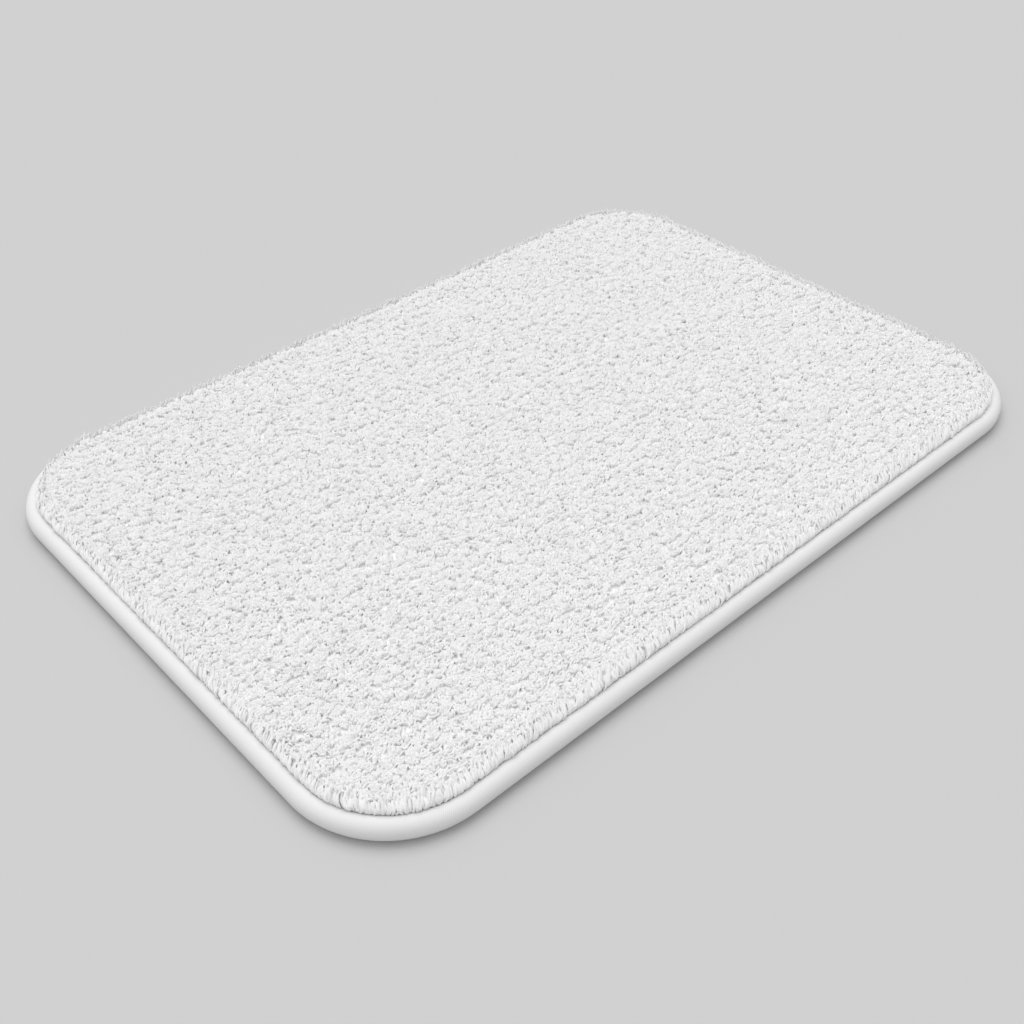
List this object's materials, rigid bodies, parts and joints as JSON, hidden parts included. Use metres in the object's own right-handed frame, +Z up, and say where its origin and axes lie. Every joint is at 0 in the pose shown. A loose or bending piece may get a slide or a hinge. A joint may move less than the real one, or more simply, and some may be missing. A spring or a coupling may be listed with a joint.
{
  "type": "bath mat",
  "caption": "Rectangular plush bath mat with rounded corners, a foam core, a non-slip underside and a corded welt round its edge.",
  "frame": {"origin": "on the floor, under the middle of the mat", "axes": "+X along the long side, +Y along the short side, +Z up out of the pile"},
  "size_m": [0.65, 0.45, 0.023],
  "materials": {
    "pile_yarn": "matte",
    "backing_cloth": "matte",
    "latex": "matte",
    "foam": "matte",
    "grip_rubber": "matte",
    "welt_cloth": "matte",
    "filler_cord": "matte",
    "sewing_thread": "satin",
    "label_tape": "satin"
  },
  "bodies": {
    "root": {"pile": "pile_yarn", "primary_backing": "backing_cloth", "latex_coat": "latex", "foam_core": "foam", "secondary_backing": "backing_cloth", "grip_sheet": "grip_rubber", "welt_cover": "welt_cloth", "welt_cord": "filler_cord", "cover_closing_thread": "sewing_thread", "upper_seam_thread": "sewing_thread", "lower_seam_thread": "sewing_thread", "care_label": "label_tape", "label_tacks": "sewing_thread"}
  },
  "joints": []
}
